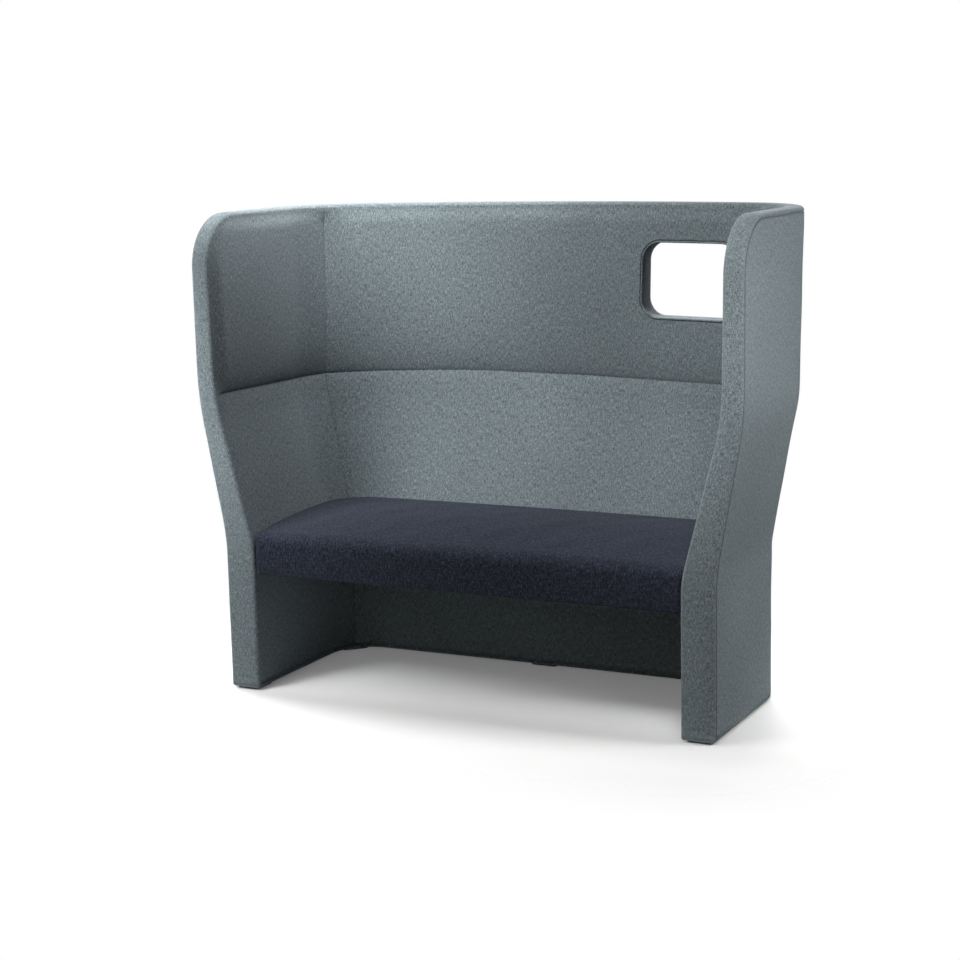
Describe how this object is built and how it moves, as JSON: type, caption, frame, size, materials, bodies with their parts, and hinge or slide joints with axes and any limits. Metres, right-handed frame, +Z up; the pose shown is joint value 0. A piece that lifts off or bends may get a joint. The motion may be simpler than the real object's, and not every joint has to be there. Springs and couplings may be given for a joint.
{
  "type": "high-back sofa",
  "caption": "High-back upholstered sofa: a padded wall with flared wings wraps three sides of a fixed seat, open for legs below, with a rounded window through the back near one end.",
  "frame": {"origin": "on the floor, under the middle of the overall width and depth", "axes": "+X towards the window end, which is on the right seen from the front; +Y to the rear, so the seat faces -Y; +Z up"},
  "size_m": [1.604, 0.8, 1.336],
  "materials": {
    "shell_fabric": "blue-grey melange wool weave",
    "seat_fabric": "dark navy melange wool weave",
    "foam": "open-cell upholstery foam",
    "lining_cloth": "black non-woven dust cloth",
    "webbing": "elastic upholstery webbing",
    "fixing_steel": "zinc plated",
    "glide_plastic": "moulded, fine grain",
    "plywood": "sanded birch plywood"
  },
  "bodies": {
    "sofa": {"back_rib_left": "plywood", "back_rib_mid": "plywood", "back_rib_window": "plywood", "base_cloth": "lining_cloth", "base_hoop": "plywood", "corner_rib_left": "plywood", "corner_rib_right": "plywood", "cover_inside_back": "shell_fabric", "cover_inside_left": "shell_fabric", "cover_inside_right": "shell_fabric", "cover_outside_back": "shell_fabric", "cover_outside_left": "shell_fabric", "cover_outside_right": "shell_fabric", "crease_hoop": "plywood", "foam_back_high": "foam", "foam_back_low": "foam", "foam_back_mid": "foam", "foam_corner_left_high": "foam", "foam_corner_left_low": "foam", "foam_corner_left_mid": "foam", "foam_corner_right_high": "foam", "foam_corner_right_low": "foam", "foam_corner_right_mid": "foam", "foam_wing_left_high": "foam", "foam_wing_left_low": "foam", "foam_wing_left_mid": "foam", "foam_wing_right_high": "foam", "foam_wing_right_low": "foam", "foam_wing_right_mid": "foam", "front_post_left": "plywood", "front_post_right": "plywood", "glide_nuts": "fixing_steel", "knee_hoop": "plywood", "seat_blocks": "plywood", "seat_bolts": "fixing_steel", "seat_corner_left": "plywood", "seat_corner_right": "plywood", "seat_cover": "seat_fabric", "seat_cross_rail_left": "plywood", "seat_cross_rail_right": "plywood", "seat_foam": "foam", "seat_rail_back": "plywood", "seat_rail_front": "plywood", "seat_rail_left": "plywood", "seat_rail_right": "plywood", "seat_under_cloth": "lining_cloth", "seat_webbing": "webbing", "top_hoop": "plywood", "window_frame": "plywood", "window_lining": "shell_fabric", "wing_rib_left": "plywood", "wing_rib_right": "plywood"},
    "glide_back_mid_body": {"glide_back_mid": "glide_plastic"},
    "glide_front_left_body": {"glide_front_left": "glide_plastic"},
    "glide_front_right_body": {"glide_front_right": "glide_plastic"},
    "glide_rear_left_body": {"glide_rear_left": "glide_plastic"},
    "glide_rear_right_body": {"glide_rear_right": "glide_plastic"}
  },
  "joints": [
    {"name": "glide_back_mid_screw", "type": "slide", "parent": "sofa", "child": "glide_back_mid_body", "axis": [0, 0, -1], "range_m": [0, 0.01]},
    {"name": "glide_front_left_screw", "type": "slide", "parent": "sofa", "child": "glide_front_left_body", "axis": [0, 0, -1], "range_m": [0, 0.01]},
    {"name": "glide_front_right_screw", "type": "slide", "parent": "sofa", "child": "glide_front_right_body", "axis": [0, 0, -1], "range_m": [0, 0.01]},
    {"name": "glide_rear_left_screw", "type": "slide", "parent": "sofa", "child": "glide_rear_left_body", "axis": [0, 0, -1], "range_m": [0, 0.01]},
    {"name": "glide_rear_right_screw", "type": "slide", "parent": "sofa", "child": "glide_rear_right_body", "axis": [0, 0, -1], "range_m": [0, 0.01]}
  ]
}
